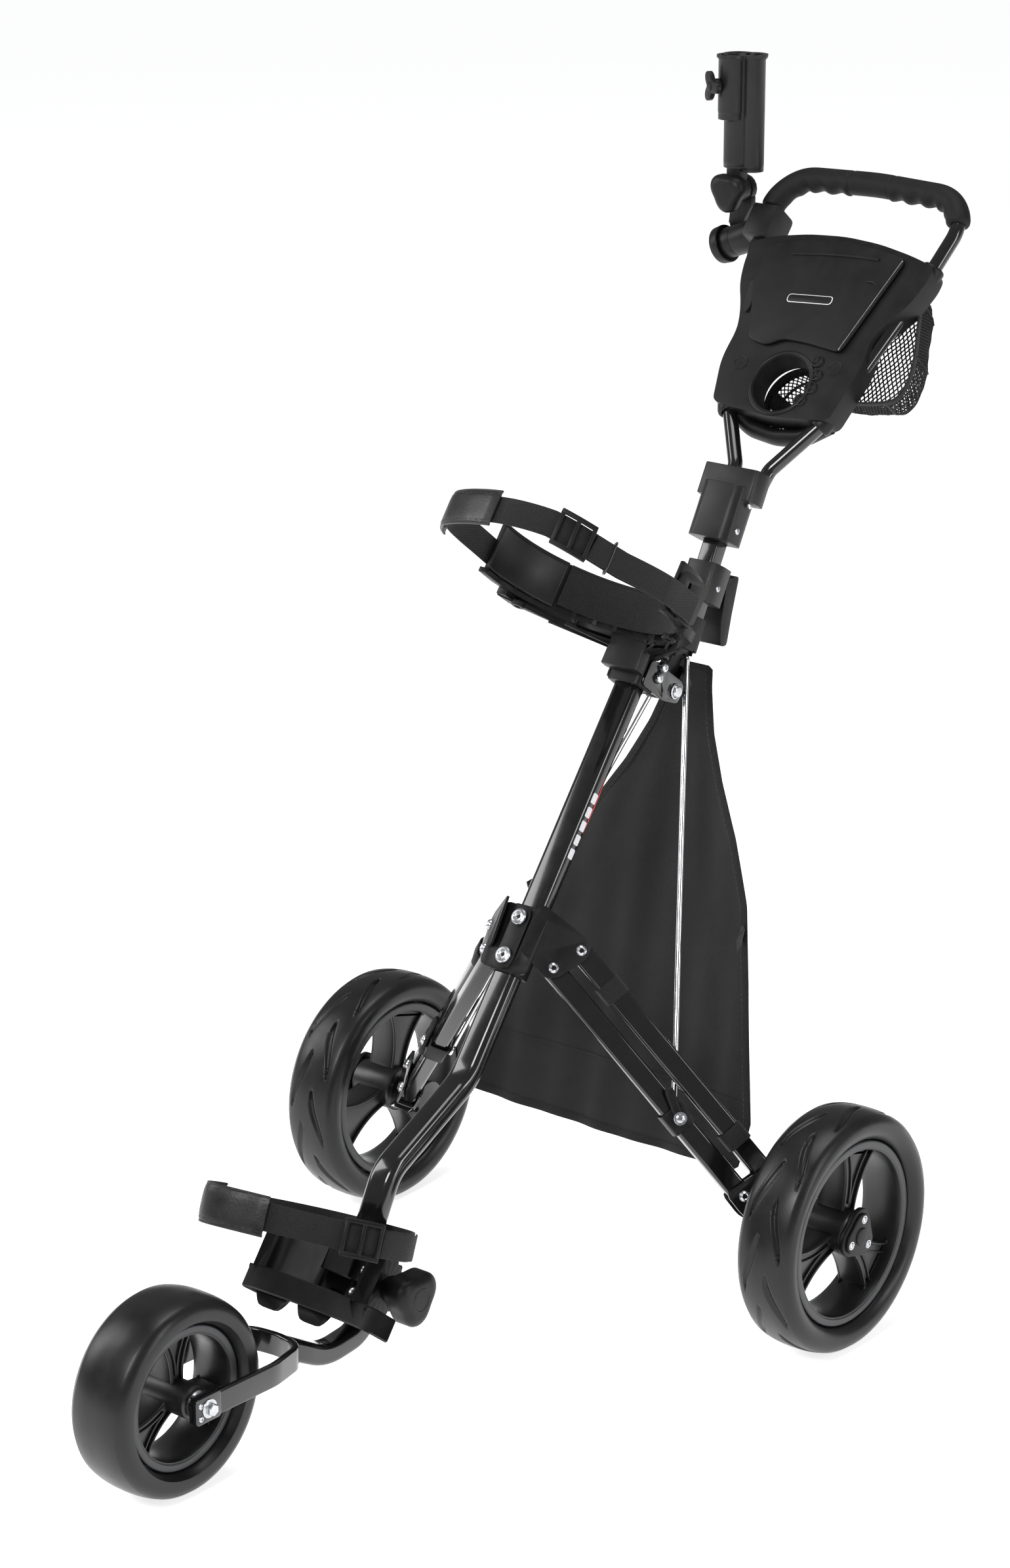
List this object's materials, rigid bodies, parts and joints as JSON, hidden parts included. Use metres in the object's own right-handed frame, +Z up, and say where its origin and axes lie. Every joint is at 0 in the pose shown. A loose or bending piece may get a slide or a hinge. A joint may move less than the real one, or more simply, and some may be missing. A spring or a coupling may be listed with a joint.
{
  "type": "three-wheel push cart",
  "caption": "Folding three-wheel push cart for a sports bag, with bag cradles and straps, a handle with console, a net basket, an umbrella holder and a cloth apron.",
  "frame": {"origin": "on the floor, at the middle of the footprint's bounding box", "axes": "+Z up, front of the cart (single wheel) towards -Y, handle towards +Y, the cart's own right side +X"},
  "size_m": [0.6788, 1.2422, 1.219],
  "materials": {
    "gloss_paint": "gloss black powder coat on aluminium tube and steel plate",
    "black_plastic": "fine-grained matte moulded plastic",
    "satin_plastic": "satin moulded plastic",
    "rim_plastic": "dark grey moulded plastic",
    "tyre_foam": "satin foamed tyre, airless",
    "chrome": "polished chrome plate",
    "zinc_steel": "zinc-plated fasteners",
    "webbing": "coarse woven webbing",
    "pad_leather": "stitched synthetic leather pad",
    "apron_fabric": "woven polyester cloth",
    "net": "knotted net cloth",
    "grip_foam": "matte foam sleeve"
  },
  "bodies": {
    "chassis": {"main_tube": "gloss_paint", "top_collar": "black_plastic", "hinge_channel": "gloss_paint", "hinge_bolt": "zinc_steel", "upper_cradle": "black_plastic", "cradle_pad": "satin_plastic", "cradle_lining": "webbing", "upper_strap": "webbing", "upper_strap_pad": "pad_leather", "upper_buckle": "black_plastic", "mid_bracket": "black_plastic", "lower_base": "black_plastic", "lock_disc": "black_plastic", "lower_strap": "webbing", "lower_strap_pad": "pad_leather", "lower_buckle": "black_plastic", "fabric_apron": "apron_fabric"},
    "handle": {"stem_lug": "black_plastic", "handle_stem": "gloss_paint", "handle_loop": "gloss_paint", "connector_block": "satin_plastic", "grip": "grip_foam", "latch_block": "satin_plastic", "console_body": "black_plastic", "drinks_pouch": "apron_fabric", "mesh_basket": "net", "umbrella_clamp": "black_plastic"},
    "latch_lever": {"latch_lever": "black_plastic"},
    "console_lid": {"console_lid": "black_plastic"},
    "umbrella_neck": {"umbrella_neck": "black_plastic"},
    "swivel_knob": {"swivel_knob": "black_plastic"},
    "umbrella_tube": {"umbrella_tube": "satin_plastic"},
    "tilt_knob": {"tilt_knob": "black_plastic"},
    "thumb_screw": {"thumb_screw": "black_plastic"},
    "front_arm": {"front_arm": "gloss_paint", "front_fork": "gloss_paint", "front_axle": "zinc_steel"},
    "front_wheel": {"front_rim": "rim_plastic", "front_tyre": "tyre_foam"},
    "front_knob": {"front_knob": "black_plastic"},
    "lower_leg_right": {"lower_leg_right": "gloss_paint", "rod_anchor_right": "gloss_paint"},
    "upper_leg_right": {"upper_leg_right": "gloss_paint"},
    "axle_right": {"axle_bracket_right": "gloss_paint", "rear_axle_right": "zinc_steel"},
    "wheel_right": {"rear_rim_right": "rim_plastic", "rear_tyre_right": "tyre_foam", "hub_cap_right": "black_plastic"},
    "link_rod_right": {"link_rod_right": "chrome"},
    "lower_leg_left": {"lower_leg_left": "gloss_paint", "rod_anchor_left": "gloss_paint"},
    "upper_leg_left": {"upper_leg_left": "gloss_paint"},
    "axle_left": {"axle_bracket_left": "gloss_paint", "rear_axle_left": "zinc_steel"},
    "wheel_left": {"rear_rim_left": "rim_plastic", "rear_tyre_left": "tyre_foam", "hub_cap_left": "black_plastic"},
    "link_rod_left": {"link_rod_left": "chrome"}
  },
  "joints": [
    {"name": "handle_fold", "type": "hinge", "parent": "chassis", "child": "handle", "pos_m": [0, 0.22764, 0.6188], "axis": [-1, 0, 0], "range_deg": [0, 108], "deforming": ["fabric_apron"]},
    {"name": "lower_leg_fold_right", "type": "hinge", "parent": "chassis", "child": "lower_leg_right", "pos_m": [0.0375, 0.00889, 0.38048], "axis": [-0.7185, 0.586, -0.3747], "range_deg": [0, 49.5]},
    {"name": "upper_leg_fold_right", "type": "hinge", "parent": "chassis", "child": "upper_leg_right", "pos_m": [0.0519, 0.03569, 0.39478], "axis": [-0.7185, 0.586, -0.3747], "range_deg": [0, 49.5]},
    {"name": "axle_bracket_fold_right", "type": "hinge", "parent": "lower_leg_right", "child": "axle_right", "pos_m": [0.2214, 0.08979, 0.15438], "axis": [-0.7185, 0.586, -0.3747], "range_deg": [-49.5, 0]},
    {"name": "link_rod_swing_right", "type": "hinge", "parent": "lower_leg_right", "child": "link_rod_right", "pos_m": [0.14757, 0.07102, 0.22603], "axis": [0.6512, -0.5818, 0.4873], "range_deg": [0, 31.91]},
    {"name": "rear_wheel_spin_right", "type": "hinge", "parent": "axle_right", "child": "wheel_right", "pos_m": [0.302, 0.13594, 0.127], "axis": [1, 0, 0], "continuous": true},
    {"name": "lower_leg_fold_left", "type": "hinge", "parent": "chassis", "child": "lower_leg_left", "pos_m": [-0.0375, 0.00889, 0.38048], "axis": [-0.7185, -0.586, 0.3747], "range_deg": [0, 49.5]},
    {"name": "upper_leg_fold_left", "type": "hinge", "parent": "chassis", "child": "upper_leg_left", "pos_m": [-0.0519, 0.03569, 0.39478], "axis": [-0.7185, -0.586, 0.3747], "range_deg": [0, 49.5]},
    {"name": "axle_bracket_fold_left", "type": "hinge", "parent": "lower_leg_left", "child": "axle_left", "pos_m": [-0.2214, 0.08979, 0.15438], "axis": [-0.7185, -0.586, 0.3747], "range_deg": [-49.5, 0]},
    {"name": "link_rod_swing_left", "type": "hinge", "parent": "lower_leg_left", "child": "link_rod_left", "pos_m": [-0.14757, 0.07102, 0.22603], "axis": [0.6512, 0.5818, -0.4873], "range_deg": [0, 31.91]},
    {"name": "rear_wheel_spin_left", "type": "hinge", "parent": "axle_left", "child": "wheel_left", "pos_m": [-0.302, 0.13594, 0.127], "axis": [1, 0, 0], "continuous": true},
    {"name": "front_arm_fold", "type": "hinge", "parent": "chassis", "child": "front_arm", "pos_m": [0, -0.23706, 0.113], "axis": [1, 0, 0], "range_deg": [0, 120]},
    {"name": "front_wheel_spin", "type": "hinge", "parent": "front_arm", "child": "front_wheel", "pos_m": [0, -0.52106, 0.1], "axis": [1, 0, 0], "continuous": true},
    {"name": "front_knob_turn", "type": "hinge", "parent": "chassis", "child": "front_knob", "pos_m": [0.048, -0.23706, 0.113], "axis": [1, 0, 0], "continuous": true},
    {"name": "latch_lever_lift", "type": "hinge", "parent": "handle", "child": "latch_lever", "pos_m": [0, 0.33326, 0.71124], "axis": [1, 0, 0], "range_deg": [0, 35]},
    {"name": "console_lid_hinge", "type": "hinge", "parent": "handle", "child": "console_lid", "pos_m": [0.057, 0.46349, 0.93746], "axis": [0.2541, 0.6102, 0.7504], "range_deg": [0, 88]},
    {"name": "umbrella_swivel", "type": "hinge", "parent": "handle", "child": "umbrella_neck", "pos_m": [-0.161, 0.56994, 1.016], "axis": [-0.9326, 0, -0.361], "range_deg": [-70, 25]},
    {"name": "umbrella_tilt", "type": "hinge", "parent": "umbrella_neck", "child": "umbrella_tube", "pos_m": [-0.161, 0.56994, 1.072], "axis": [0, 1, 0], "range_deg": [-80, 15]},
    {"name": "swivel_knob_turn", "type": "hinge", "parent": "umbrella_neck", "child": "swivel_knob", "pos_m": [-0.161, 0.56994, 1.016], "axis": [-0.9326, 0, -0.361], "continuous": true},
    {"name": "tilt_knob_turn", "type": "hinge", "parent": "umbrella_neck", "child": "tilt_knob", "pos_m": [-0.161, 0.56994, 1.072], "axis": [0, 1, 0], "continuous": true},
    {"name": "thumb_screw_turn", "type": "hinge", "parent": "umbrella_tube", "child": "thumb_screw", "pos_m": [-0.163, 0.56094, 1.186], "axis": [-0.4512, -0.8924, 0], "continuous": true}
  ],
  "couplings": [
    {"joint": "lower_leg_fold_right", "follows": "handle_fold", "ratio": 0.45833},
    {"joint": "upper_leg_fold_right", "follows": "handle_fold", "ratio": 0.45833},
    {"joint": "axle_bracket_fold_right", "follows": "handle_fold", "ratio": -0.45833},
    {"joint": "link_rod_swing_right", "follows": "handle_fold", "ratio": 0.2955},
    {"joint": "lower_leg_fold_left", "follows": "handle_fold", "ratio": 0.45833},
    {"joint": "upper_leg_fold_left", "follows": "handle_fold", "ratio": 0.45833},
    {"joint": "axle_bracket_fold_left", "follows": "handle_fold", "ratio": -0.45833},
    {"joint": "link_rod_swing_left", "follows": "handle_fold", "ratio": 0.2955}
  ]
}
